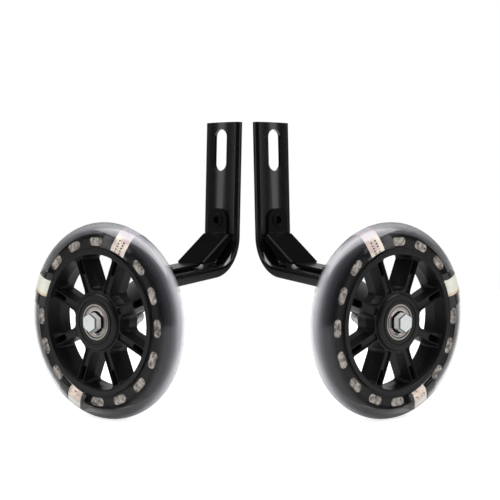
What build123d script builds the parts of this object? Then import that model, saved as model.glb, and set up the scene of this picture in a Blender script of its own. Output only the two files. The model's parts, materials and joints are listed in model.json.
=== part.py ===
from build123d import *
from math import cos, hypot, radians, sin, tan
import os

# A pair of bicycle training wheels, seen from behind the bicycle. The left unit is modelled and the
# right one is its mirror image. The wheels stand on the floor plane, +X is right and +Y is away.

# Layout of the pair
unit_turn = 36.5  # turn of each axle away from the straight view, degrees
pair_gap = 7.24  # between the two arms, where they come closest

# Tyre, a clear cast ring with a rounded tread
tyre_width = 23.0
tread_height = 12.5
bead_height = 3.0  # tapered part between the rim and the tread

# Moulded wheel core
core_width = 19.0
boss_radius = 17.5
rim_outer_radius = 44.5
rim_wall = 3.5
flange_height = 9.0
flange_thickness = 16.0
flange_edge_round = 4.0
spoke_count = 8
spoke_start = 22.5  # degrees from the across direction
spoke_width = 6.6
spoke_disc_width = 15.0
opening_inner_radius = 19.5
opening_ledge = 0.8  # rim stub left around the outer end of each opening
opening_draft = 5.0  # degrees, both ways from the middle plane
opening_hub_round = 3.0
opening_rim_round = 1.5
core_edge_round = 0.8
boss_edge_round = 1.8
boss_groove_radius = 13.0
boss_groove_width = 0.8
boss_groove_depth = 0.5
spoke_rail = 1.1  # raised rail along each side of a spoke
spoke_floor_depth = 1.3
spoke_floor_inner_radius = 18.5
spoke_floor_margin = 1.0  # to the rim
spoke_slot_width = 4.0
spoke_slot_inner_radius = 30.5
spoke_slot_skin = 2.0  # wall left in the middle plane under the deep slots
flange_window_count = 16
flange_window_start = 67.5  # degrees, the first lamp position
flange_window_gap = 1.5  # to the rim
flange_window_length = 10.5
flange_window_height = 5.2

# Lamp modules, three of the sixteen flange positions
lamp_positions = (0, 4, 8)
lamp_rim_gap = 1.5
lamp_skin = 1.0  # tyre left over the crown of each module
lamp_tangent_width = 11.5
lamp_axial_width = 18.0
lamp_edge_round = 1.0
lamp_lens_radius = 2.2
lamp_lens_height = 1.2

# Bearings, the common 8 x 22 x 7 size
bearing_bore = 8.0
bearing_outside = 22.0
bearing_width = 7.0
bearing_set_back = 0.3  # bearing face below the core's end face
ball_count = 7
ball_diameter = 3.97
ball_play = 0.05  # between a ball and the groove it runs in
inner_ring_shoulder = 12.1  # diameter
outer_ring_shoulder = 17.9  # diameter
shield_seat_diameter = 19.4
shield_thickness = 0.45
shield_recess = 0.3
shield_gap = 0.2  # to the inner ring
cage_wall = 1.6
cage_back = 0.45  # cage wall behind the balls
cage_front = 0.8  # cage reach past the middle of the balls
cage_pocket_play = 0.08
seat_fit = 0.01  # radial, ring in the core and ring on the bolt
outer_ring_lip_diameter = 18.4  # shoulder in the core that stops the outer rings

# Axle bolt and what is stacked on it
bolt_diameter = 8.0
bolt_length = 40.0
bolt_head_flats = 10.4
bolt_head_height = 5.3
bolt_head_chamfer = 30.0  # degrees
bolt_head_turn = 30.0  # degrees, from a flat facing across
hexagon_sides = 6
bolt_seat_diameter = 9.6
bolt_seat_height = 0.4
bolt_tip_chamfer = 1.0
hole_play = 0.2  # radial, around bolts and rivets
sleeve_outside = 11.6
spacer_outside = 12.0
spacer_length = 4.3
washer_outside = 16.0
washer_thickness = 1.6
nut_flats = 13.0
nut_height = 8.0
nut_collar_height = 2.2
nut_collar_diameter = 11.6

# Arm, one pressed channel from the slotted upright to the lug behind the wheel
arm_width = 29.5
arm_depth = 8.5
upright_depth = 5.0  # the sides are lower above the upper bend
upright_lean = 2.1  # degrees, away from the wheel
arm_sheet = 2.5
arm_crown = 1.6  # rise of the web's middle over its edges
arm_corner_round = 3.0
arm_top_height = 126.0  # above the axle
arm_reach = 110.4  # middle of the wheel to the line where limb and upright would meet
limb_height = 30.5  # limb's upper face above the axle, where it would meet the upright
limb_drop = 4.2  # degrees below level
knee_reach = 46.0  # middle of the wheel to the second bend
lug_shoulder_height = 12.0  # channel's upper face above the axle, at the lug
lug_radius = 10.0
upper_bend_radius = 17.0
lower_bend_radius = 20.0
heel_radius = 28.0  # free edges of the sides, round the upper bend
slot_width = 10.4
slot_length = 28.8
slot_top_margin = 4.8  # arm top to the slot's upper end

# Brace folded across the upper bend
brace_sheet = 2.0
brace_web_width = 23.0
brace_tab_width = 16.4
brace_fold_radius = 2.5  # inside the folds
brace_fold_rise = 3.2  # upper fold above the end of the arm's bend
brace_foot_run = 16.2  # lower fold beyond the other end of the bend
brace_foot_length = 33.0
brace_web_margin = 3.0  # wide part of the web stops this far from each fold
brace_flange_foot = 11.0  # length of each side flange along the limb
brace_flange_gap = 0.5  # to the arm's crown line
brace_crease_round = 1.5
brace_rivet_rise = 9.4  # upper fold to the upper rivet
brace_rivet_foot = 24.0  # lower fold to the lower rivet

# Rivets
rivet_diameter = 6.0
rivet_rim_diameter = 9.4
rivet_rim_height = 0.7
rivet_rim_round = 0.3
rivet_bore_diameter = 5.2
rivet_bore_depth = 2.6
rivet_tail_diameter = 10.0
rivet_tail_height = 1.2

# Derived places
turn = radians(unit_turn)
outward = Vector(-sin(turn), -cos(turn), 0)
across = Vector(cos(turn), -sin(turn), 0)
up = Vector(0, 0, 1)

tread_seat_radius = rim_outer_radius + bead_height
tyre_radius = tread_seat_radius + tread_height
lean = radians(upright_lean)
upright_length = (arm_top_height - limb_height) / cos(lean)
arm_back = arm_reach + upright_length * sin(lean) + upright_depth * cos(lean)
axle_half_span = arm_back * sin(turn) + arm_width / 2 * cos(turn) + pair_gap / 2
tyre_front = tread_seat_radius * sin(turn) + hypot(tread_height * sin(turn), tyre_width / 2 * cos(turn))
arm_rear = arm_back * cos(turn) + arm_width / 2 * sin(turn)
axle_centre = Vector(-axle_half_span, (tyre_front - arm_rear) / 2, tyre_radius)

face_plane = Plane(axle_centre, x_dir=across, z_dir=outward)  # x across, y up, z outward
section_plane = Plane(axle_centre, x_dir=up, z_dir=across)  # x radial, y outward
side_plane = Plane(axle_centre, x_dir=outward, z_dir=-across)  # x outward, y up
axle_axis = Axis(axle_centre, outward)

core_end = core_width / 2
flange_half = flange_thickness / 2
flange_radius = rim_outer_radius + flange_height
rim_inner_radius = rim_outer_radius - rim_wall
spoke_floor_outer_radius = rim_inner_radius - spoke_floor_margin
flange_window_ring_radius = rim_outer_radius + flange_window_gap + flange_window_height / 2
disc_half = spoke_disc_width / 2
bearing_end = core_end - bearing_set_back
bearing_middle = bearing_end - bearing_width / 2
seat_floor = bearing_end - bearing_width
seat_radius = bearing_outside / 2 + seat_fit
shaft_radius = bolt_diameter / 2 - seat_fit
clear_radius = bolt_diameter / 2 + hole_play
ball_radius = ball_diameter / 2
pitch_radius = (inner_ring_shoulder + outer_ring_shoulder) / 4
lug_front = -bearing_end - spacer_length
lug_back = lug_front - arm_sheet
washer_back = lug_back - washer_thickness
window_step = 360 / flange_window_count
lamp_inner_radius = rim_outer_radius + lamp_rim_gap
lamp_half = lamp_axial_width / 2
lamp_angles = [flange_window_start + window_step * i for i in lamp_positions]
window_angles = [
    flange_window_start + window_step * i for i in range(flange_window_count) if i not in lamp_positions
]

drop = radians(limb_drop)
bend_run = upper_bend_radius * tan((radians(90) - drop - lean) / 2)
fold_rise = bend_run + brace_fold_rise
foot_reach = arm_reach - bend_run - brace_foot_run
limb_direction = Vector(cos(drop), -sin(drop))
limb_normal = Vector(sin(drop), cos(drop))
upright_direction = Vector(-sin(lean), cos(lean))
upright_normal = Vector(cos(lean), sin(lean))


def limb_top(reach):
    """Point of the limb's upper crown line, in the side plane, at this reach from the wheel's middle."""
    return Vector(-reach, limb_height - (arm_reach - reach) * sin(drop) / cos(drop))


def upright_face(rise):
    """Point of the upright's outer crown line, in the side plane, this far up from the limb."""
    return Vector(-arm_reach, limb_height) + upright_direction * rise


def side_point(point):
    """A point of the side plane in the pair's frame."""
    return axle_centre + outward * point.X + up * point.Y


def side_vector(vector):
    """A direction of the side plane in the pair's frame."""
    return outward * vector.X + up * vector.Y


def band(inner, outer, low, high, mode=Mode.ADD):
    """Rectangle of a turned section between two radii and two places along the axle."""
    with Locations(((inner + outer) / 2, (low + high) / 2)):
        Rectangle(outer - inner, high - low, mode=mode)


def disc(place, radius, height, mode=Mode.ADD):
    """Round slab on the axle, from this place outward."""
    with BuildSketch(face_plane.offset(place)) as outline:
        Circle(radius)
    extrude(outline.sketch, amount=height, mode=mode)


def tube(low, high, outer, inner):
    """Plain tube on the axle."""
    with BuildSketch(section_plane) as wall:
        band(inner, outer, low, high)
    revolve(wall.sketch, axis=axle_axis)


pieces = {}

# Wheel core: turned body, spokes with railed floors and deep slots, and a windowed flange for the tyre
with BuildPart() as wheel_core:
    with BuildSketch(section_plane) as core_section:
        band(outer_ring_lip_diameter / 2, boss_radius, -core_end, core_end)
        band(boss_radius, rim_inner_radius, -disc_half, disc_half)
        band(rim_inner_radius, rim_outer_radius, -core_end, core_end)
        band(rim_outer_radius, flange_radius, -flange_half, flange_half)
        band(outer_ring_lip_diameter / 2, seat_radius, seat_floor, core_end, Mode.SUBTRACT)
        band(outer_ring_lip_diameter / 2, seat_radius, -core_end, -seat_floor, Mode.SUBTRACT)
        groove = (boss_groove_radius, boss_groove_radius + boss_groove_width)
        band(*groove, core_end - boss_groove_depth, core_end, Mode.SUBTRACT)
        band(*groove, -core_end, boss_groove_depth - core_end, Mode.SUBTRACT)
        ends = core_section.vertices().group_by(Axis.Y)
        fillet((ends[0] + ends[-1]).group_by(Axis.X)[-2], core_edge_round)
        ends = core_section.vertices().group_by(Axis.Y)
        boss_edges = (ends[0] + ends[-1]).filter_by(lambda v: abs(v.X - boss_radius) < seat_fit)
        fillet(boss_edges, boss_edge_round)
        flange_edges = core_section.vertices().filter_by(lambda v: abs(v.X - flange_radius) < seat_fit)
        fillet(flange_edges, flange_edge_round)
    revolve(axis=axle_axis)
    with BuildSketch(face_plane) as openings:
        Circle(rim_inner_radius - opening_ledge)
        Circle(opening_inner_radius, mode=Mode.SUBTRACT)
        with PolarLocations(0, spoke_count, start_angle=spoke_start):
            Rectangle(rim_outer_radius, spoke_width, align=(Align.MIN, Align.CENTER), mode=Mode.SUBTRACT)
        corners = openings.vertices().sort_by_distance((0, 0, 0))
        fillet(corners[: 2 * spoke_count], opening_hub_round)
        corners = openings.vertices().sort_by_distance((0, 0, 0))
        fillet(corners[-2 * spoke_count :], opening_rim_round)
    extrude(amount=disc_half, both=True, taper=-opening_draft, mode=Mode.SUBTRACT)
    for side in (1, -1):
        with BuildSketch(face_plane.offset(side * disc_half)):
            with PolarLocations(0, spoke_count, start_angle=spoke_start):
                with Locations(((spoke_floor_inner_radius + spoke_floor_outer_radius) / 2, 0)):
                    floor_length = spoke_floor_outer_radius - spoke_floor_inner_radius
                    RectangleRounded(floor_length, spoke_width - 2 * spoke_rail, spoke_rail)
        extrude(amount=-side * spoke_floor_depth, mode=Mode.SUBTRACT)
        with BuildSketch(face_plane.offset(side * disc_half)):
            with PolarLocations(0, spoke_count, start_angle=spoke_start):
                with Locations(((spoke_slot_inner_radius + spoke_floor_outer_radius) / 2, 0)):
                    SlotOverall(spoke_floor_outer_radius - spoke_slot_inner_radius, spoke_slot_width)
        extrude(amount=-side * (disc_half - spoke_slot_skin / 2), mode=Mode.SUBTRACT)
    with BuildSketch(face_plane):
        for angle in window_angles:
            with PolarLocations(flange_window_ring_radius, 1, start_angle=angle):
                SlotOverall(flange_window_length, flange_window_height, rotation=90)
        for angle in lamp_angles:
            with PolarLocations(lamp_inner_radius, 1, start_angle=angle):
                Rectangle(flange_height, lamp_tangent_width, align=(Align.MIN, Align.CENTER))
    extrude(amount=flange_thickness, both=True, mode=Mode.SUBTRACT)
pieces["wheel_core"] = wheel_core

# Lamp modules set in the flange: flat sides with a lens on each, and a crown that follows the tread
with BuildPart() as lamp_modules:
    for angle in lamp_angles:
        radial = across * cos(radians(angle)) + up * sin(radians(angle))
        with BuildSketch(Plane(axle_centre, x_dir=radial, z_dir=radial.cross(outward))):
            band(lamp_inner_radius, tread_seat_radius, -lamp_half, lamp_half)
            with Locations((tread_seat_radius, 0)):
                Ellipse(tread_height - lamp_skin, tyre_width / 2 - lamp_skin)
            band(lamp_inner_radius, tyre_radius, -lamp_half, lamp_half, Mode.INTERSECT)
        extrude(amount=lamp_tangent_width / 2, both=True)
    fillet(lamp_modules.edges().filter_by(axle_axis), lamp_edge_round)
    lens_ring_radius = (lamp_inner_radius + flange_radius) / 2
    for side in (1, -1):
        with BuildSketch(face_plane.offset(side * lamp_half)):
            for angle in lamp_angles:
                with PolarLocations(lens_ring_radius, 1, start_angle=angle):
                    Circle(lamp_lens_radius)
        extrude(amount=side * lamp_lens_height)
pieces["lamp_modules"] = lamp_modules

# Tyre: cast over the flange, so it fills the windows and takes the lamp modules in
with BuildPart() as tyre:
    with BuildSketch(section_plane):
        with BuildLine():
            tread_middle = (tread_seat_radius, 0)
            tread = EllipticalCenterArc(tread_middle, tread_height, tyre_width / 2, -90, arc_size=180)
            Polyline(tread @ 1, (rim_outer_radius, core_end), (rim_outer_radius, -core_end), tread @ 0)
        make_face()
    revolve(axis=axle_axis)
    add(wheel_core.part, mode=Mode.SUBTRACT)
    add(lamp_modules.part, mode=Mode.SUBTRACT)
pieces["tyre"] = tyre

# Two shielded ball bearings
for place, middle in (("outboard", bearing_middle), ("inboard", -bearing_middle)):
    low = middle - bearing_width / 2
    high = middle + bearing_width / 2
    groove_radius = ball_radius + ball_play
    shield_depth = shield_recess + shield_thickness

    with BuildPart() as outer_ring:
        with BuildSketch(section_plane):
            band(outer_ring_shoulder / 2, bearing_outside / 2, low, high)
            shield_seat = (outer_ring_shoulder / 2, shield_seat_diameter / 2)
            band(*shield_seat, low, low + shield_depth, Mode.SUBTRACT)
            band(*shield_seat, high - shield_depth, high, Mode.SUBTRACT)
            with Locations((pitch_radius, middle)):
                Circle(groove_radius, mode=Mode.SUBTRACT)
        revolve(axis=axle_axis)
    pieces[f"{place}_outer_ring"] = outer_ring

    with BuildPart() as inner_ring:
        with BuildSketch(section_plane):
            band(bearing_bore / 2, inner_ring_shoulder / 2, low, high)
            with Locations((pitch_radius, middle)):
                Circle(groove_radius, mode=Mode.SUBTRACT)
        revolve(axis=axle_axis)
    pieces[f"{place}_inner_ring"] = inner_ring

    with BuildPart() as shields:
        with BuildSketch(section_plane):
            shield_bore = inner_ring_shoulder / 2 + shield_gap
            band(shield_bore, shield_seat_diameter / 2, low + shield_recess, low + shield_depth)
            band(shield_bore, shield_seat_diameter / 2, high - shield_depth, high - shield_recess)
        revolve(axis=axle_axis)
    pieces[f"{place}_shields"] = shields

    with BuildPart(face_plane.offset(middle)) as balls:
        with PolarLocations(pitch_radius, ball_count):
            Sphere(ball_radius)
    pieces[f"{place}_balls"] = balls

    with BuildPart(face_plane.offset(middle)) as cage:
        with BuildSketch(section_plane):
            cage_low = middle - ball_radius - cage_pocket_play - cage_back
            band(pitch_radius - cage_wall / 2, pitch_radius + cage_wall / 2, cage_low, middle + cage_front)
        revolve(axis=axle_axis)
        with PolarLocations(pitch_radius, ball_count):
            Sphere(ball_radius + cage_pocket_play, mode=Mode.SUBTRACT)
    pieces[f"{place}_cage"] = cage

# Sleeve between the inner rings, and the spacer between the inboard ring and the arm's lug
with BuildPart() as bearing_sleeve:
    tube(-seat_floor, seat_floor, sleeve_outside / 2, clear_radius)
pieces["bearing_sleeve"] = bearing_sleeve

with BuildPart() as lug_spacer:
    tube(lug_front, -bearing_end, spacer_outside / 2, clear_radius)
pieces["lug_spacer"] = lug_spacer

# Axle bolt: chamfered hexagon head on a round seat
with BuildPart() as axle_bolt:
    head_low = bearing_end + bolt_seat_height
    head_high = bearing_end + bolt_head_height
    with BuildSketch(face_plane.offset(head_low)):
        RegularPolygon(bolt_head_flats / 2, hexagon_sides, major_radius=False, rotation=bolt_head_turn)
    extrude(amount=head_high - head_low)
    with BuildSketch(section_plane):
        with BuildLine():
            cone_top = (bolt_head_flats / 2, head_high)
            cone_foot = bolt_head_flats / 2 + (head_high - head_low) / tan(radians(bolt_head_chamfer))
            Polyline((0, head_low), (cone_foot, head_low), cone_top, (0, head_high), close=True)
        make_face()
    revolve(axis=axle_axis, mode=Mode.INTERSECT)
    disc(bearing_end, bolt_seat_diameter / 2, bolt_seat_height)
    disc(bearing_end - bolt_length, shaft_radius, bolt_length)
    chamfer(axle_bolt.edges().sort_by(axle_axis)[0], bolt_tip_chamfer)
pieces["axle_bolt"] = axle_bolt

with BuildPart() as axle_washer:
    tube(washer_back, lug_back, washer_outside / 2, clear_radius)
pieces["axle_washer"] = axle_washer

# Lock nut with its round collar
with BuildPart() as lock_nut:
    with BuildSketch(face_plane.offset(washer_back)):
        RegularPolygon(nut_flats / 2, hexagon_sides, major_radius=False)
    extrude(amount=nut_collar_height - nut_height)
    disc(washer_back - nut_height, nut_collar_diameter / 2, nut_collar_height)
    disc(washer_back - nut_height, shaft_radius + seat_fit, nut_height, Mode.SUBTRACT)
pieces["lock_nut"] = lock_nut

# Places of the two rivets that hold the brace, on the arm's crown line and facing outward from it
arch_centre = upright_face(fold_rise + brace_rivet_rise)
foot_rivet = limb_top(foot_reach) + limb_direction * brace_rivet_foot
rivet_planes = {
    "upper": Plane(side_point(arch_centre), x_dir=across, z_dir=side_vector(upright_normal)),
    "lower": Plane(side_point(foot_rivet), x_dir=across, z_dir=side_vector(limb_normal)),
}


def rivet_holes():
    """Both rivet holes, cut through whatever lies on the arm's crown line."""
    for plane in rivet_planes.values():
        with BuildSketch(plane.offset(-arm_sheet - arm_crown)) as hole:
            Circle(rivet_diameter / 2 + seat_fit)
        extrude(hole.sketch, amount=arm_sheet + arm_crown + 2 * brace_sheet, mode=Mode.SUBTRACT)


# Arm: crowned channel swept down the upright, out along the limb and down to the lug behind the hub,
# with lower sides on the upright and flat seats for the rivet tails under its web
with BuildPart() as arm:
    arm_top = upright_face(upright_length)
    knee = limb_top(knee_reach)
    shoulder = Vector(lug_front, lug_shoulder_height)
    past_lug = shoulder + (shoulder - knee).normalized() * arm_depth
    with BuildLine() as arm_path:
        path_points = [side_point(point) for point in (arm_top, limb_top(arm_reach), knee, past_lug)]
        FilletPolyline(*path_points, radius=(upper_bend_radius, lower_bend_radius))
    top_plane = Plane(side_point(arm_top), x_dir=across, z_dir=-side_vector(upright_direction))
    with BuildSketch(top_plane) as channel:
        with BuildLine():
            edge = arm_width / 2
            ThreePointArc((-edge, -arm_crown), (0, 0), (edge, -arm_crown))
            Polyline((edge, -arm_crown), (edge, -arm_depth), (-edge, -arm_depth), (-edge, -arm_crown))
        make_face()
        fillet(channel.vertices().group_by(Axis.Y)[-1], arm_corner_round)
        offset(amount=-arm_sheet, mode=Mode.SUBTRACT)
        with Locations((0, -arm_depth)):
            Rectangle(arm_width - 2 * arm_sheet, 2 * arm_sheet, mode=Mode.SUBTRACT)
    sweep(path=arm_path.line)
    split(bisect_by=face_plane.offset(lug_front), keep=Keep.BOTTOM)
    with BuildSketch(face_plane.offset(lug_front)):
        Circle(lug_radius)
        corner_offset = arm_width / 2 - arm_corner_round
        corner_height = lug_shoulder_height - arm_crown - arm_corner_round
        with Locations((-corner_offset, corner_height), (corner_offset, corner_height)):
            Circle(arm_corner_round)
        make_hull()
    extrude(amount=-arm_sheet)
    disc(lug_front - arm_depth, clear_radius, arm_depth, Mode.SUBTRACT)
    with BuildSketch(side_plane):
        rear_foot = upright_face(0) - upright_normal * upright_depth
        rear_top = rear_foot + upright_direction * (upright_length + arm_depth)
        limb_under = limb_top(arm_reach) - limb_normal * arm_depth
        heel_rise = (limb_under - rear_foot).cross(limb_direction).Z / upright_direction.cross(limb_direction).Z
        heel = rear_foot + upright_direction * heel_rise
        heel_end = heel + limb_direction * heel_radius
        with BuildLine():
            FilletPolyline(rear_top, heel, heel_end, radius=heel_radius)
            Polyline(
                heel_end,
                heel_end - limb_normal * arm_depth,
                heel - (limb_normal + upright_normal) * arm_depth,
                rear_top - upright_normal * arm_depth,
                rear_top,
            )
        make_face()
    extrude(amount=arm_width, both=True, mode=Mode.SUBTRACT)
    slot_middle = upright_face(upright_length - slot_top_margin - slot_length / 2)
    with BuildSketch(Plane(side_point(slot_middle), x_dir=across, z_dir=side_vector(upright_normal))):
        SlotOverall(slot_length, slot_width, rotation=90)
    extrude(amount=-arm_depth, mode=Mode.SUBTRACT)
    rivet_holes()
    for plane in rivet_planes.values():
        with BuildSketch(plane.offset(-arm_sheet)):
            Circle(rivet_tail_diameter / 2 + hole_play)
        extrude(amount=-arm_crown, mode=Mode.SUBTRACT)
pieces["arm"] = arm

# Brace: one folded sheet, with an arched tab on the upright, a wide flanged web and a foot on the limb
fold_top = upright_face(fold_rise)
fold_foot = limb_top(foot_reach)
web_direction = (fold_foot - fold_top).normalized()
web_normal = Vector(-web_direction.Y, web_direction.X)
web_middle = (fold_top + fold_foot) / 2
web_plane = Plane(side_point(web_middle), x_dir=across, z_dir=side_vector(web_normal))
foot_end = fold_foot + limb_direction * (brace_foot_length - brace_tab_width / 2)
foot_plane = Plane(side_point(foot_end), x_dir=across, z_dir=side_vector(limb_normal))

with BuildPart() as brace:
    with BuildSketch(side_plane):
        with BuildLine():
            folds = FilletPolyline(arch_centre, fold_top, fold_foot, foot_end, radius=brace_fold_radius)
            offset(folds, amount=brace_sheet, side=Side.LEFT, mode=Mode.ADD)
        make_face()
    extrude(amount=brace_tab_width / 2, both=True)
    for plane in (rivet_planes["upper"], foot_plane):
        with BuildSketch(plane):
            Circle(brace_tab_width / 2)
        extrude(amount=brace_sheet)
    with BuildSketch(web_plane):
        Rectangle(brace_web_width, (fold_foot - fold_top).length - 2 * brace_web_margin)
    extrude(amount=brace_sheet)
    for side in (1, -1):
        with BuildSketch(side_plane.offset(side * brace_web_width / 2)):
            high = fold_top + web_direction * brace_web_margin
            low = fold_foot - web_direction * brace_web_margin
            limb_side = low - limb_direction * brace_flange_foot
            arm_side = upright_face(bend_run) + upright_normal * brace_flange_gap
            with BuildLine():
                Polyline(high, low, limb_side, arm_side, close=True)
            make_face()
        extrude(amount=-side * brace_sheet)
    along_web = brace.edges().filter_by(Axis(web_plane.origin, side_vector(web_direction)))
    front_edges = along_web.group_by(Axis(web_plane.origin, web_plane.z_dir))[-1]
    creases = front_edges.sort_by(Axis(web_plane.origin, across))
    fillet((creases[0], creases[-1]), brace_crease_round)
    rivet_holes()
pieces["brace"] = brace

# Rivets: rolled rim in front, plain tail inside the channel
for place, plane in rivet_planes.items():
    with BuildPart() as rivet:
        with BuildSketch(plane.offset(brace_sheet)):
            Circle(rivet_rim_diameter / 2)
        extrude(amount=rivet_rim_height)
        fillet(rivet.edges().filter_by(GeomType.CIRCLE), rivet_rim_round)
        with BuildSketch(plane.offset(-arm_sheet)):
            Circle(rivet_diameter / 2)
        extrude(amount=arm_sheet + brace_sheet)
        with BuildSketch(plane.offset(-arm_sheet)):
            Circle(rivet_tail_diameter / 2)
        extrude(amount=-rivet_tail_height)
        with BuildSketch(plane.offset(brace_sheet + rivet_rim_height)):
            Circle(rivet_bore_diameter / 2)
        extrude(amount=-rivet_bore_depth, mode=Mode.SUBTRACT)
    pieces[f"{place}_rivet"] = rivet

os.makedirs("parts", exist_ok=True)
for name, piece in pieces.items():
    piece.part.label = f"left_{name}"
    export_step(piece.part, f"parts/left_{name}.step")
    with BuildPart() as twin:
        mirror(piece.part, about=Plane.YZ)
    twin.part.label = f"right_{name}"
    export_step(twin.part, f"parts/right_{name}.step")
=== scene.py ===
import bpy
import json
from math import cos, pi, radians, sin
from mathutils import Matrix, Vector


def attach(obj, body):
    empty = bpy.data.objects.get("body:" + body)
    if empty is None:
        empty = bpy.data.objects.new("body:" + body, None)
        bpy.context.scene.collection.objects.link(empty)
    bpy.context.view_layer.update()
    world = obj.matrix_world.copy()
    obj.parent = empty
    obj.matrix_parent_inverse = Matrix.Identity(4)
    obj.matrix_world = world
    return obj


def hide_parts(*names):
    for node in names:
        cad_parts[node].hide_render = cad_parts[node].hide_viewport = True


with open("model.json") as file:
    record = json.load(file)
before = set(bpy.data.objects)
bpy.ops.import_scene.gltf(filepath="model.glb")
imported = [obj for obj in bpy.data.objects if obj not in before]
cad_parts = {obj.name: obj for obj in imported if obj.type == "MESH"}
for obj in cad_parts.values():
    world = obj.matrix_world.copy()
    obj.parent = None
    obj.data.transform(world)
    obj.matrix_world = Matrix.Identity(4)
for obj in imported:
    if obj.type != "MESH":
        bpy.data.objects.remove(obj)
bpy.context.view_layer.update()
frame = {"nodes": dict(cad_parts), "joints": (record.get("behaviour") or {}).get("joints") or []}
scene = bpy.context.scene
mm = 0.001
print("frame loaded:", len(frame["nodes"]), "nodes")

# each unit has its own frame: x across the wheel, y up, z outward along the axle
hinges = {joint["name"]: joint for joint in frame["joints"]}
unitFrames = {}
for side, hand in (("left", 1), ("right", -1)):
    hinge = hinges[side + "_wheel_spin"]
    outward = Vector(hinge["axis"]).normalized()
    across = Vector((0, 0, 1)).cross(outward) * hand
    turned = Matrix((across, (0, 0, 1), outward)).transposed().to_4x4()
    unitFrames[side] = Matrix.Translation(hinge["pos_m"]) @ turned
axle = Vector(hinge["pos_m"])  # the right wheel's, which the left one mirrors
axis = outward


# a socket with arithmetic: an expression on values adds its Math nodes
class Wire:
    def __init__(self, tree, socket=None):
        self.tree = tree
        self.socket = socket

    # adds any node: its settings first, then the values or links of its sockets
    def node(self, kind, settings=None, inputs=None, output=0):
        made = self.tree.nodes.new(kind)
        for name, value in (settings or {}).items():
            if name == "stops":
                self.fillRamp(made.color_ramp, value)
            else:
                setattr(made, name, value)
        for name, value in (inputs or {}).items():
            if isinstance(value, Wire):
                self.tree.links.new(value.socket, made.inputs[name])
            else:
                made.inputs[name].default_value = value
        return Wire(self.tree, made.outputs[output] if made.outputs else None)

    def fillRamp(self, ramp, stops):
        while len(ramp.elements) < len(stops):
            ramp.elements.new(1)
        for element, (place, shade) in zip(ramp.elements, stops):
            element.position = place
            element.color = (*shade, 1) if isinstance(shade, tuple) else (shade, shade, shade, 1)

    def other(self, output):
        return Wire(self.tree, self.socket.node.outputs[output])

    def math(self, operation, *values):
        return self.node("ShaderNodeMath", {"operation": operation}, dict(enumerate(values)))

    def __add__(self, value):
        return self.math("ADD", self, value)

    def __sub__(self, value):
        return self.math("SUBTRACT", self, value)

    def __rsub__(self, value):
        return self.math("SUBTRACT", value, self)

    def __mul__(self, value):
        return self.math("MULTIPLY", self, value)

    def __truediv__(self, value):
        return self.math("DIVIDE", self, value)

    def __pow__(self, value):
        return self.math("POWER", self, value)

    __radd__ = __add__
    __rmul__ = __mul__


def newMaterial(name):
    material = bpy.data.materials.new(name)
    material.use_nodes = True
    material.node_tree.nodes.clear()
    return material, Wire(material.node_tree)


def showShader(wire, shader):
    wire.node("ShaderNodeOutputMaterial", None, {"Surface": shader})


def showPrincipled(wire, inputs):
    showShader(wire, wire.node("ShaderNodeBsdfPrincipled", None, inputs))


def objectPlace(wire):
    return wire.node("ShaderNodeTexCoord", output="Object")


def grain(wire, place, scale, detail=3.0, roughness=0.5):
    return wire.node("ShaderNodeTexNoise", None,
                     {"Vector": place, "Scale": scale, "Detail": detail, "Roughness": roughness})


# a value that noise moves up and down by half the spread
def varied(value, spread, noise):
    return value + spread * (noise - 0.5)


def ramp(wire, stops, value):
    return wire.node("ShaderNodeValToRGB", {"stops": stops}, {0: value})


# lays one colour or link over another
def mixOver(wire, factor, below, above):
    below, above = (end if isinstance(end, Wire) else (*end, 1) for end in (below, above))
    return wire.node("ShaderNodeMix", {"data_type": "RGBA"}, {0: factor, 6: below, 7: above}, 2)


def bumpFrom(wire, height, strength, distance, normal=None):
    inputs = {"Height": height, "Strength": strength, "Distance": distance}
    if normal:
        inputs["Normal"] = normal
    return wire.node("ShaderNodeBump", None, inputs)


def softEdges(wire, radius):
    return wire.node("ShaderNodeBevel", {"samples": 6}, {"Radius": radius})


def smoothStep(wire, value, low, high, start=0.0, end=1.0):
    return wire.node("ShaderNodeMapRange", {"interpolation_type": "SMOOTHSTEP"},
                     {0: value, 1: low, 2: high, 3: start, 4: end})


# a spot's place on its own wheel, the same for both units: how far out along the axle, radius and angle
def wheelPlace(wire, place, shift=0.0):
    spot = wire.node("ShaderNodeSeparateXYZ", None, {0: place})
    x = wire.math("ABSOLUTE", spot.other("X")) - axle.x
    y = spot.other("Y") - axle.y
    up = spot.other("Z") - axle.z
    out = x * axis.x + y * axis.y
    across = y * -axis.x + x * axis.y - shift
    radius = wire.math("SQRT", across * across + up * up)
    return out, radius, wire.math("ARCTAN2", up, across)


# three of the four places a quarter turn apart hold a lamp; cosines tell the places apart
lampPlace = {"first": radians(67.5), "step": radians(90.0), "middle": radians(157.5), "bareBelow": -0.5, "sector": 0.7}


# signed distance from the middle line of the nearest lamp, and the plain one, far off where the fourth place has none
def lampOffset(wire, radius, angle):
    half = lampPlace["step"] / 2
    turned = wire.math("FLOORED_MODULO", angle - lampPlace["first"] + half, lampPlace["step"]) - half
    bare = wire.math("LESS_THAN", wire.math("COSINE", angle - lampPlace["middle"]), lampPlace["bareBelow"])
    offset = radius * wire.math("SINE", turned)
    return offset, wire.math("ABSOLUTE", offset) + bare


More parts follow.
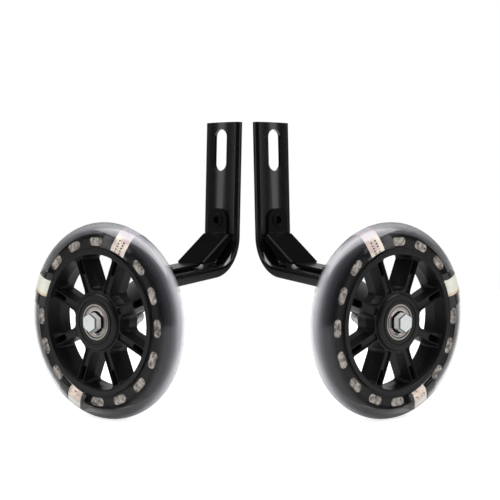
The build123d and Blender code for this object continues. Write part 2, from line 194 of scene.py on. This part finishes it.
# upper lamp: cream board with rows of dark marks and a cool outer end
# middle lamp: pale, with a peach edge; lower lamp: flesh, with spots and a white outer band
lamp = {"cloud": 170.0, "fleck": 900.0, "mottle": (0.35, 0.6),
        "cream": (0.86, 0.78, 0.66), "rose": (0.62, 0.5, 0.46),
        "cool": (0.34, 0.33, 0.44), "coolSpan": (0.0525, 0.0585), "coolLeast": 0.4, "coolMottle": 0.4,
        "mark": (0.03, 0.025, 0.03), "rowPlace": 0.0017, "rowHalf": 0.0006, "markPitch": 0.0017, "markShare": 0.55,
        "markEnd": 0.054, "markWear": (0.36, 0.46),
        "pale": (0.87, 0.87, 0.76), "paleDim": (0.8, 0.77, 0.68), "dimShare": 0.6,
        "peach": (0.76, 0.6, 0.42), "peachSpan": (0.0032, 0.0046),
        "flesh": (0.56, 0.43, 0.37), "fleshLight": (0.85, 0.72, 0.62), "spot": (0.1, 0.03, 0.03),
        "spotSpan": (0.6, 0.64), "band": (0.9, 0.88, 0.85), "bandSpan": (0.051, 0.0545)}


def lampFace(wire, place, shift=0.0):
    radius, angle = wheelPlace(wire, place, shift)[1:]
    offset, distance = lampOffset(wire, radius, angle)
    mottle = smoothStep(wire, grain(wire, place, lamp["cloud"], detail=4.0), *lamp["mottle"])
    flecks = grain(wire, place, lamp["fleck"], detail=2.0)
    middle, lower = (
        wire.math("GREATER_THAN", wire.math("COSINE", angle - lampPlace["first"] - lampPlace["step"] * count),
                  lampPlace["sector"]) for count in (1, 2))

    face = mixOver(wire, mottle, lamp["rose"], lamp["cream"])
    cool = smoothStep(wire, radius, *lamp["coolSpan"]) * (lamp["coolLeast"] + lamp["coolMottle"] * mottle)
    face = mixOver(wire, cool, face, lamp["cool"])
    fromRow = wire.math("ABSOLUTE", wire.math("ABSOLUTE", offset) - lamp["rowPlace"])
    inRow = wire.math("LESS_THAN", fromRow, lamp["rowHalf"])
    dash = wire.math("LESS_THAN", wire.math("FRACT", radius / lamp["markPitch"]), lamp["markShare"])
    early = wire.math("LESS_THAN", radius, lamp["markEnd"])
    marks = inRow * dash * early * smoothStep(wire, flecks, *lamp["markWear"])
    face = mixOver(wire, marks, face, lamp["mark"])

    face = mixOver(wire, middle, face, lamp["pale"])
    face = mixOver(wire, middle * (1 - mottle) * lamp["dimShare"], face, lamp["paleDim"])
    face = mixOver(wire, middle * smoothStep(wire, offset, *lamp["peachSpan"]), face, lamp["peach"])

    face = mixOver(wire, lower, face, lamp["flesh"])
    face = mixOver(wire, lower * mottle, face, lamp["fleshLight"])
    face = mixOver(wire, lower * smoothStep(wire, flecks, *lamp["spotSpan"]), face, lamp["spot"])
    face = mixOver(wire, lower * smoothStep(wire, radius, *lamp["bandSpan"]), face, lamp["band"])
    return face, distance, radius


paint = {"dark": (0.0022, 0.0022, 0.0025), "light": (0.004, 0.004, 0.0044), "cloud": 60.0,
         "peel": 700.0, "peelStrength": 0.2, "peelDepth": 0.00002, "edge": 0.0004, "glossSpread": 0.06,
         "coatRough": 0.14, "armGloss": 0.21, "armCoat": 0.8, "armSpecular": 0.5,
         "braceGloss": 0.24, "braceCoat": 0.0, "braceSpecular": 0.07}


def makePaint(name, gloss, clearCoat, specular):
    material, wire = newMaterial(name)
    place = objectPlace(wire)
    cloud = grain(wire, place, paint["cloud"])
    peel = grain(wire, place, paint["peel"], detail=2.0)
    showPrincipled(wire, {
        "Base Color": mixOver(wire, cloud, paint["dark"], paint["light"]),
        "Roughness": varied(gloss, paint["glossSpread"], cloud),
        "Coat Weight": clearCoat, "Coat Roughness": paint["coatRough"], "Specular IOR Level": specular,
        "Normal": bumpFrom(wire, peel, paint["peelStrength"], paint["peelDepth"], softEdges(wire, paint["edge"]))})
    return material


nylon = {"dark": (0.004, 0.004, 0.0045), "light": (0.009, 0.009, 0.0095), "cloud": 90.0,
         "grain": 2400.0, "grainStrength": 0.3, "grainDepth": 0.00003, "edge": 0.0004,
         "gloss": 0.36, "glossSpread": 0.12, "specular": 0.28}


def makeNylon():
    material, wire = newMaterial("coreNylon")
    place = objectPlace(wire)
    cloud = grain(wire, place, nylon["cloud"])
    fine = grain(wire, place, nylon["grain"], detail=2.0)
    showPrincipled(wire, {
        "Base Color": mixOver(wire, cloud, nylon["dark"], nylon["light"]),
        "Roughness": varied(nylon["gloss"], nylon["glossSpread"], cloud),
        "Specular IOR Level": nylon["specular"],
        "Normal": bumpFrom(wire, fine, nylon["grainStrength"], nylon["grainDepth"], softEdges(wire, nylon["edge"]))})
    return material


# the side walls are a clear skin over the core, and towards the crest the thick tread turns milky
cast = {"cloud": 45.0, "bend": 1.45, "gloss": 0.14, "glossSpread": 0.06, "specular": 0.75, "milkSpread": 0.06,
        "lampEdge": (0.0057, 0.0053), "lampFoot": (0.0454, 0.046), "lampCover": (0.0125, 0.0105),
        "lampShift": 0.003, "shiftSpan": (0.0, 0.8),
        "rimClear": 0.7, "rimBlend": 0.5, "rimSpan": (0.3, 0.75), "rimShadeBelow": (-0.75, -0.15),
        "shadeByMilk": [(0.0, (0.62, 0.62, 0.65)), (0.13, (0.52, 0.52, 0.55)), (0.24, (0.33, 0.33, 0.36)),
                        (0.38, (0.12, 0.12, 0.135)), (0.51, (0.044, 0.044, 0.05)), (0.68, (0.018, 0.018, 0.021)),
                        (0.93, (0.007, 0.007, 0.008))],
        "solidBySection": [(0.36, 0.97), (0.55, 0.94), (0.66, 0.6), (0.74, 0.16), (0.85, 0.08)]}


def makeClearCast():
    material, wire = newMaterial("clearCast")
    place = objectPlace(wire)
    section, milk = (wire.node("ShaderNodeAttribute", {"attribute_name": name}, output="Fac")
                     for name in ("section", "milk"))
    cloud = grain(wire, place, cast["cloud"])

    # the lamps' faces lie on the skin, on the outer wall moved across to where the clear tyre shows them
    out, radius, angle = wheelPlace(wire, place)
    nearLamp = smoothStep(wire, lampOffset(wire, radius, angle)[1], *cast["lampCover"])
    outboard = wire.math("GREATER_THAN", out, 0.0)
    shift = cast["lampShift"] * smoothStep(wire, section, *cast["shiftSpan"]) * outboard
    face, distance, faceRadius = lampFace(wire, place, shift)
    aboveFoot = smoothStep(wire, faceRadius, *cast["lampFoot"])
    overLamp = smoothStep(wire, distance, *cast["lampEdge"]) * aboveFoot

    # the rim of the wall is clearer, except under the wheel, where it stays dark as painted shade of the shadowed
    # floor
    rim = wire.node("ShaderNodeLayerWeight", None, {"Blend": cast["rimBlend"]}, "Facing")
    normal = wire.node("ShaderNodeNewGeometry", output="Normal")
    upward = wire.node("ShaderNodeSeparateXYZ", None, {0: normal}, "Z")
    clearRim = cast["rimClear"] * smoothStep(wire, rim, *cast["rimSpan"])
    clearRim = clearRim * smoothStep(wire, upward, *cast["rimShadeBelow"])
    cover = wire.math("MAXIMUM", nearLamp * aboveFoot, ramp(wire, cast["solidBySection"], section))

    # the tone follows the milky tread, plus the painted highlight of the light from above along the upper part
    shade = ramp(wire, cast["shadeByMilk"], varied(milk, cast["milkSpread"], cloud))
    showPrincipled(wire, {
        "Base Color": mixOver(wire, overLamp, shade, face),
        "Roughness": varied(cast["gloss"], cast["glossSpread"], cloud), "IOR": cast["bend"],
        "Specular IOR Level": cast["specular"],
        "Alpha": wire.math("MAXIMUM", overLamp, cover * (1 - clearRim))})
    return material


# a dark line painted round the face of the bolt's head stands for the chamfer's dark reflection, and the head's flanks
# are painted brighter as a painted highlight
zinc = {"dark": (0.68, 0.7, 0.7), "light": (0.84, 0.86, 0.86), "metal": 0.36, "gloss": 0.3, "glossSpread": 0.14,
        "spangle": 420.0, "spangleStrength": 0.1, "spangleDepth": 0.00003, "edge": 0.0004,
        "burr": (0.04, 0.045, 0.05), "burrFrom": 0.0047, "burrOut": 0.0135, "chamferReflectionShare": 0.85,
        "flank": (0.97, 0.98, 0.97), "flankFrom": 0.0051, "flankOut": 0.0085}


def makeZinc():
    material, wire = newMaterial("zincPlate")
    place = objectPlace(wire)
    cloud = grain(wire, place, zinc["spangle"], detail=4.0)
    out, radius, angle = wheelPlace(wire, place)
    fromFlat = wire.math("FLOORED_MODULO", angle + pi / 6, pi / 3) - pi / 6
    toFlat = radius * wire.math("COSINE", fromFlat)
    # painted reflection and highlight: a dark line round the face, and bright flanks
    burr, flank = (
        wire.math("GREATER_THAN", toFlat, zinc[name + "From"]) * wire.math("GREATER_THAN", out, zinc[name + "Out"])
        for name in ("burr", "flank"))
    plate = mixOver(wire, cloud, zinc["dark"], zinc["light"])
    plate = mixOver(wire, flank, plate, zinc["flank"])
    showPrincipled(wire, {
        "Base Color": mixOver(wire, burr * zinc["chamferReflectionShare"], plate, zinc["burr"]), "Metallic": zinc["metal"],
        "Roughness": varied(zinc["gloss"], zinc["glossSpread"], cloud),
        "Normal": bumpFrom(wire, cloud, zinc["spangleStrength"], zinc["spangleDepth"],
                           softEdges(wire, zinc["edge"]))})
    return material


# ground rings, read by their distance from the axle: a dark bore, partly the deep gap and partly painted shadow of the
# bolt's head, a painted highlight along the shield's inner edge, dished shield, dark gap, bright outer ring
bearing = {"reach": 0.011, "metal": 0.92, "gloss": 0.2, "glossSpread": 0.14, "turning": 5200.0, "lineDepth": 0.02,
           "dish": (0.0066, 0.0084), "dishStrength": 0.6, "dishDepth": 0.0006, "edge": 0.0002, "toneSpread": 0.012,
           # the first two tones are the dark bore with the head's painted shadow and the painted highlight on the
           # shield's inner edge
           "tones": [(0.625, (0.015, 0.015, 0.015)), (0.645, (0.75, 0.72, 0.7)), (0.69, (0.42, 0.38, 0.36)),
                     (0.835, (0.36, 0.32, 0.3)), (0.85, (0.02, 0.02, 0.02)), (0.89, (0.02, 0.02, 0.02)),
                     (0.905, (0.42, 0.4, 0.37)), (0.96, (0.36, 0.34, 0.32)), (1.0, (0.2, 0.19, 0.18))]}


def makeBearingSteel():
    material, wire = newMaterial("bearingSteel")
    radius = wheelPlace(wire, objectPlace(wire))[1]
    lines = wire.node("ShaderNodeTexNoise", {"noise_dimensions": "1D"},
                      {"W": radius * bearing["turning"], "Detail": 2.0})
    dished = smoothStep(wire, radius, *bearing["dish"]) + bearing["lineDepth"] * lines
    showPrincipled(wire, {
        "Base Color": ramp(wire, bearing["tones"], varied(radius / bearing["reach"], bearing["toneSpread"], lines)),
        "Metallic": bearing["metal"], "Roughness": varied(bearing["gloss"], bearing["glossSpread"], lines),
        "Normal": bumpFrom(wire, dished, bearing["dishStrength"], bearing["dishDepth"],
                           softEdges(wire, bearing["edge"]))})
    return material


resin = {"cloud": 900.0, "glossLeast": 0.3, "glossRange": 0.2, "bumpStrength": 0.2, "bumpDepth": 0.0001}


def makeLampResin():
    material, wire = newMaterial("lampResin")
    place = objectPlace(wire)
    cloud = grain(wire, place, resin["cloud"], detail=2.0)
    showPrincipled(wire, {
        "Base Color": lampFace(wire, place)[0], "Roughness": resin["glossLeast"] + resin["glossRange"] * cloud,
        "Normal": bumpFrom(wire, cloud, resin["bumpStrength"], resin["bumpDepth"])})
    return material


fill = {"mottle": 380.0, "gloss": 0.3, "bumpStrength": 0.4, "bumpDepth": 0.0002,
        "tones": [(0.38, (0.085, 0.073, 0.064)), (0.49, (0.32, 0.285, 0.25)), (0.62, (0.62, 0.57, 0.51))]}


def makeWindowFill():
    material, wire = newMaterial("windowFill")
    mottle = grain(wire, objectPlace(wire), fill["mottle"], detail=5.0, roughness=0.6)
    showPrincipled(wire, {
        "Base Color": ramp(wire, fill["tones"], mottle), "Roughness": fill["gloss"],
        "Normal": bumpFrom(wire, mottle, fill["bumpStrength"], fill["bumpDepth"])})
    return material


cage = {"dark": (0.7, 0.66, 0.55), "light": (0.85, 0.82, 0.72), "cloud": 300.0, "glossLeast": 0.4, "glossRange": 0.2}


def makeCageNylon():
    material, wire = newMaterial("cageNylon")
    cloud = grain(wire, objectPlace(wire), cage["cloud"])
    showPrincipled(wire, {
        "Base Color": mixOver(wire, cloud, cage["dark"], cage["light"]),
        "Roughness": cage["glossLeast"] + cage["glossRange"] * cloud})
    return material


finishes = {
    "armPaint": makePaint("armPaint", paint["armGloss"], paint["armCoat"], paint["armSpecular"]),
    "bracePaint": makePaint("bracePaint", paint["braceGloss"], paint["braceCoat"], paint["braceSpecular"]),
    "coreNylon": makeNylon(),
    "clearCast": makeClearCast(),
    "zinc": makeZinc(),
    "bearing": makeBearingSteel(),
    "lampResin": makeLampResin(),
    "windowFill": makeWindowFill(),
    "cageNylon": makeCageNylon(),
}
print("finishes made:", len(finishes))

nodeFinish = {
    "arm": "armPaint", "brace": "bracePaint", "upper_rivet": "bracePaint", "lower_rivet": "bracePaint",
    "axle_bolt": "zinc", "axle_washer": "zinc", "lock_nut": "zinc", "lug_spacer": "zinc", "bearing_sleeve": "zinc",
    "inner_ring": "bearing", "outer_ring": "bearing", "shields": "bearing", "balls": "bearing", "cage": "cageNylon",
    "wheel_core": "coreNylon", "tyre": "clearCast", "lamp_modules": "lampResin",
}
for nodeName, node in frame["nodes"].items():
    ending = next(end for end in nodeFinish if nodeName.endswith(end))
    node.data.materials.clear()
    node.data.materials.append(finishes[nodeFinish[ending]])
    node.data.shade_smooth()

socketKinds = {int: "NodeSocketInt", float: "NodeSocketFloat"}


# a Geometry Nodes tree with an input for each value of a piece, built by the function that is handed over
def newTree(name, values, build):
    tree = bpy.data.node_groups.new(name, "GeometryNodeTree")
    tree.interface.new_socket("Geometry", in_out="OUTPUT", socket_type="NodeSocketGeometry")
    for label, value in values.items():
        tree.interface.new_socket(label, in_out="INPUT", socket_type=socketKinds[type(value)])
    tree.interface.new_socket("Material", in_out="INPUT", socket_type="NodeSocketMaterial")
    wire = Wire(tree)
    group = wire.node("NodeGroupInput")
    joined = wire.node("GeometryNodeRealizeInstances", None, {0: build(wire, group.other)})
    coated = wire.node("GeometryNodeSetMaterial", None, {"Geometry": joined, "Material": group.other("Material")})
    wire.node("NodeGroupOutput", None, {0: coated})
    return tree


# runs a tree, seats the result on its unit and leaves a plain mesh
def growPiece(name, tree, values, side, body):
    piece = bpy.data.objects.new(name, bpy.data.meshes.new(name))
    scene.collection.objects.link(piece)
    modifier = piece.modifiers.new("grow", "NODES")
    modifier.node_group = tree
    for item in tree.interface.items_tree:
        if item.in_out == "INPUT":
            modifier[item.identifier] = values[item.name]
    graph = bpy.context.evaluated_depsgraph_get()
    grown = bpy.data.meshes.new_from_object(piece.evaluated_get(graph))
    piece.modifiers.remove(modifier)
    piece.data = grown
    grown.transform(unitFrames[side])
    if unitFrames[side].determinant() < 0:
        grown.flip_normals()
    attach(piece, body)
    return piece


# the milky tread lies a little inboard, and along the upper part a painted highlight, standing for the light from
# above, carries the light tone further down the outer wall
tyre = {"Seat Radius": 47.5 * mm, "Tread Height": 12.5 * mm, "Half Width": 11.5 * mm, "Bead Depth": 3.3 * mm,
        "Bead Slope": 1.8, "Around": 360, "Section": 96, "Weld": 0.001 * mm,
        "Milk Shift": radians(12.0), "Milk Lean": radians(40.0),
        "Lean From": radians(27.0), "Lean Full": radians(115.0), "Lean End": radians(125.0)}


def buildTyre(wire, value):
    sheet = wire.node("GeometryNodeMeshGrid", None, {
        "Size X": 1.0, "Size Y": 1.0, "Vertices X": value("Around"), "Vertices Y": value("Section")})
    spot = wire.node("ShaderNodeSeparateXYZ", None, {0: wire.node("GeometryNodeInputPosition")})
    around = spot.other("X") * (2 * pi)
    section = spot.other("Y") * (2 * pi)
    rise = wire.math("COSINE", section)
    tread = wire.math("MAXIMUM", rise, 0.0) * value("Tread Height")
    bead = wire.math("MAXIMUM", wire.math("MINIMUM", rise, 0.0) * value("Bead Slope"), -1.0) * value("Bead Depth")
    radius = value("Seat Radius") + tread + bead
    point = wire.node("ShaderNodeCombineXYZ", None, {
        "X": radius * wire.math("COSINE", around), "Y": radius * wire.math("SINE", around),
        "Z": value("Half Width") * wire.math("SINE", section)})
    # painted highlight: along the upper part the tone is made lighter, as light from above would make it
    paintedLight = smoothStep(wire, around, value("Lean From"), value("Lean Full")) * value("Milk Lean")
    paintedLight = paintedLight * (1 - smoothStep(wire, around, value("Lean End"), pi))
    shifted = section + value("Milk Shift")
    milk = wire.math("MAXIMUM", wire.math("MAXIMUM", shifted - paintedLight, 0 - shifted), 0.0)
    marked = sheet
    for name, mark in (("section", wire.math("ABSOLUTE", section)), ("milk", milk)):
        marked = wire.node("GeometryNodeStoreNamedAttribute", {"data_type": "FLOAT", "domain": "POINT"}, {
            "Geometry": marked, "Name": name, "Value": mark / (pi / 2)})
    marked = wire.node("GeometryNodeSetPosition", None, {"Geometry": marked, "Position": point})
    closed = wire.node("GeometryNodeMergeByDistance", None, {"Geometry": marked, "Distance": value("Weld")})
    return wire.node("GeometryNodeSetShadeSmooth", None, {"Geometry": closed, "Shade Smooth": True})


tyreTree = newTree("tyreRing", tyre, buildTyre)
for side in unitFrames:
    values = dict(tyre, Material=finishes["clearCast"])
    ring = growPiece(side + "_clear_tyre", tyreTree, values, side, side + "_wheel")
    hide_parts(side + "_tyre")
print("tyres made:", len(ring.data.polygons), "faces each")

window = {"Count": 16, "Start": radians(67.5), "Ring Radius": 48.6 * mm, "Length": 10.3 * mm, "Height": 5.0 * mm,
          "Depth": 15.8 * mm, "Corner Share": 0.46, "Corner Steps": 8, "Rings": 11, "End Draw": 0.1, "End Power": 6.0,
          "Lamp Stride": 4, "Lamp Last": 8}


# a block with rounded corners whose two ends draw in a little: length across, height out, depth along the axle
def roundedBlock(wire, value):
    outline = wire.node("GeometryNodeCurvePrimitiveQuadrilateral", None,
                        {"Width": value("Height"), "Height": value("Length")})
    rounded = wire.node("GeometryNodeFilletCurve", {"mode": "POLY"}, {
        "Curve": outline, "Count": value("Corner Steps"), "Radius": value("Height") * value("Corner Share")})
    spine = wire.node("GeometryNodeCurvePrimitiveLine", None, {
        "Start": wire.node("ShaderNodeCombineXYZ", None, {"Z": value("Depth") * -0.5}),
        "End": wire.node("ShaderNodeCombineXYZ", None, {"Z": value("Depth") * 0.5})})
    spine = wire.node("GeometryNodeResampleCurve", None, {"Curve": spine, "Count": value("Rings")})
    along = wire.math("ABSOLUTE", wire.node("GeometryNodeSplineParameter") * 2 - 1)
    spine = wire.node("GeometryNodeSetCurveRadius", None, {
        "Curve": spine, "Radius": 1 - value("End Draw") * along ** value("End Power")})
    return wire.node("GeometryNodeCurveToMesh", None, {"Curve": spine, "Profile Curve": rounded, "Fill Caps": True})


# a plug in each window, none where a lamp sits; each is turned by its own place on the ring
def buildWindows(wire, value):
    index = wire.node("GeometryNodeInputIndex")
    angle = value("Start") + index * (2 * pi) / value("Count")
    place = wire.node("ShaderNodeCombineXYZ", None, {
        "X": value("Ring Radius") * wire.math("COSINE", angle), "Y": value("Ring Radius") * wire.math("SINE", angle)})
    spots = wire.node("GeometryNodePoints", None, {"Count": value("Count"), "Position": place})
    onLamp = wire.math("COMPARE", wire.math("MODULO", index, value("Lamp Stride")), 0.0, 0.1)
    early = wire.math("LESS_THAN", index, value("Lamp Last") + 0.5)
    spots = wire.node("GeometryNodeDeleteGeometry", None, {"Geometry": spots, "Selection": onLamp * early})
    kept = wire.node("ShaderNodeSeparateXYZ", None, {0: wire.node("GeometryNodeInputPosition")})
    turn = wire.node("ShaderNodeCombineXYZ", None, {"Z": wire.math("ARCTAN2", kept.other("Y"), kept.other("X"))})
    return wire.node("GeometryNodeInstanceOnPoints", None, {
        "Points": spots, "Instance": roundedBlock(wire, value), "Rotation": turn})


windowTree = newTree("windowFills", window, buildWindows)
for side in unitFrames:
    values = dict(window, Material=finishes["windowFill"])
    plugs = growPiece(side + "_window_fills", windowTree, values, side, side + "_wheel")
print("window fills made:", len(plugs.data.polygons), "faces each")

thread = {"Radius": 3.88 * mm, "Ridge": 0.34 * mm, "Turns": 3.2, "Rise": 4.0 * mm, "Tip": -29.7 * mm,
          "Steps": 40, "Sides": 6}


# the ridge of the bolt's thread where it stands out behind the nut
def buildThread(wire, value):
    helix = wire.node("GeometryNodeCurveSpiral", None, {
        "Resolution": value("Steps"), "Rotations": value("Turns"), "Start Radius": value("Radius"),
        "End Radius": value("Radius"), "Height": value("Rise")})
    profile = wire.node("GeometryNodeCurvePrimitiveCircle", None, {
        "Resolution": value("Sides"), "Radius": value("Ridge")})
    ridge = wire.node("GeometryNodeCurveToMesh", None, {
        "Curve": helix, "Profile Curve": profile, "Fill Caps": True})
    return wire.node("GeometryNodeSetPosition", None, {
        "Geometry": ridge, "Offset": wire.node("ShaderNodeCombineXYZ", None, {"Z": value("Tip")})})


threadTree = newTree("boltThread", thread, buildThread)
for side in unitFrames:
    values = dict(thread, Material=finishes["zinc"])
    ridge = growPiece(side + "_bolt_thread", threadTree, values, side, "arms")
print("bolt threads made:", len(ridge.data.polygons), "faces each")

view = {"place": (0, -0.6375, 0.1413), "pitch": 3.61, "lens": 72.0, "sensor": 36.0, "shift": 0.005, "nearest": 0.01}

lens = bpy.data.cameras.new("camera")
lens.lens = view["lens"]
lens.sensor_width = view["sensor"]
lens.shift_x = view["shift"]
lens.clip_start = view["nearest"]
camera = bpy.data.objects.new("camera", lens)
camera.location = view["place"]
camera.rotation_euler = (radians(90 - view["pitch"]), 0, 0)
scene.collection.objects.link(camera)
scene.camera = camera


def softbox(name, place, target, width, height, power, mirrored, shines=True):
    light = bpy.data.lights.new(name, "AREA")
    light.shape = "RECTANGLE"
    light.size = width
    light.size_y = height
    light.energy = power
    box = bpy.data.objects.new(name, light)
    box.location = place
    box.rotation_euler = (Vector(target) - Vector(place)).to_track_quat("-Z", "Y").to_euler()
    box.visible_glossy = mirrored
    box.visible_diffuse = shines
    scene.collection.objects.link(box)


# tall strips at each side, at the angles that the arms' faces mirror to the camera: angle, width and power
strips = {"Near": (52, 0.1, 0.28), "Middle": (73, 0.17, 0.6), "Far": (96, 0.06, 0.1)}
stripStand = {"centre": (0.02, 0.06, 0.16), "reach": 0.9, "rise": 0.1, "height": 0.9}
for side, hand in (("left", -1), ("right", 1)):
    centre = Vector(stripStand["centre"])
    centre.x *= hand
    for name, (angle, width, power) in strips.items():
        aside = hand * stripStand["reach"] * sin(radians(angle))
        ahead = -stripStand["reach"] * cos(radians(angle))
        place = centre + Vector((aside, ahead, stripStand["rise"]))
        softbox(side + name + "Strip", place, centre, width, stripStand["height"], power, mirrored=True)
softbox("topLight", place=(0, -0.15, 1.1), target=(0, 0, 0.06), width=0.9, height=0.7, power=7.0, mirrored=False)
softbox("frontLight", place=(0, -1.3, 0.7), target=(0, 0, 0.08), width=1.2, height=0.5, power=5.0, mirrored=False)
# seen only in gloss, as the light band along the tops of the tyres
softbox("highPanel", place=(0, 0, 0.95), target=(0, 0, 0.1), width=1.85, height=0.58, power=14.0, mirrored=True,
        shines=False)


# 1 for rays that look straight at something or through glass
def straightRay(wire, ray):
    return wire.math("MAXIMUM", ray.other("Is Camera Ray"), ray.other("Is Transmission Ray"))


# gloss mirrors white behind the pair, dimmer high up, and a dark room in front of it
room = {"behind": (0.5, 0.95), "front": 0.01, "high": (0.1, 0.4), "highDim": 0.3, "ambient": 0.5}

world = bpy.data.worlds.new("studioWorld")
world.use_nodes = True
world.node_tree.nodes.clear()
world.cycles.sampling_method = "NONE"  # so that glossy rays alone choose what a gloss mirrors
scene.world = world
wire = Wire(world.node_tree)
ray = wire.node("ShaderNodeLightPath")
facing = wire.node("ShaderNodeSeparateXYZ", None, {0: wire.node("ShaderNodeTexCoord")})
behind = smoothStep(wire, facing.other("Y"), *room["behind"], room["front"], 1.0)
low = smoothStep(wire, facing.other("Z"), *room["high"], 1.0, room["highDim"])
glossy = ray.other("Is Glossy Ray") * behind * low
ambient = (1 - ray.other("Is Glossy Ray")) * room["ambient"]
seen = straightRay(wire, ray)
wire.node("ShaderNodeOutputWorld", None, {"Surface": wire.node("ShaderNodeBackground", None, {
    "Color": (1, 1, 1, 1), "Strength": seen + (1 - seen) * (glossy + ambient)})})

ground = {"half": 0.7, "tone": (0.8, 0.8, 0.8, 1), "glow": 0.75}

half = ground["half"]
floorMesh = bpy.data.meshes.new("floor")
floorMesh.from_pydata([(-half, -half, 0), (half, -half, 0), (half, half, 0), (-half, half, 0)], [], [(0, 1, 2, 3)])
floor = bpy.data.objects.new("floor", floorMesh)
scene.collection.objects.link(floor)
material, wire = newMaterial("paleFloor")
seen = straightRay(wire, wire.node("ShaderNodeLightPath"))
pale = wire.node("ShaderNodeBsdfDiffuse", None, {"Color": ground["tone"]})
glow = wire.node("ShaderNodeEmission", None, {"Color": (1, 1, 1, 1), "Strength": ground["glow"] * seen})
showShader(wire, wire.node("ShaderNodeAddShader", None, {0: pale, 1: glow}))
floorMesh.materials.append(material)

scene.view_settings.view_transform = "Standard"
print("stage set")
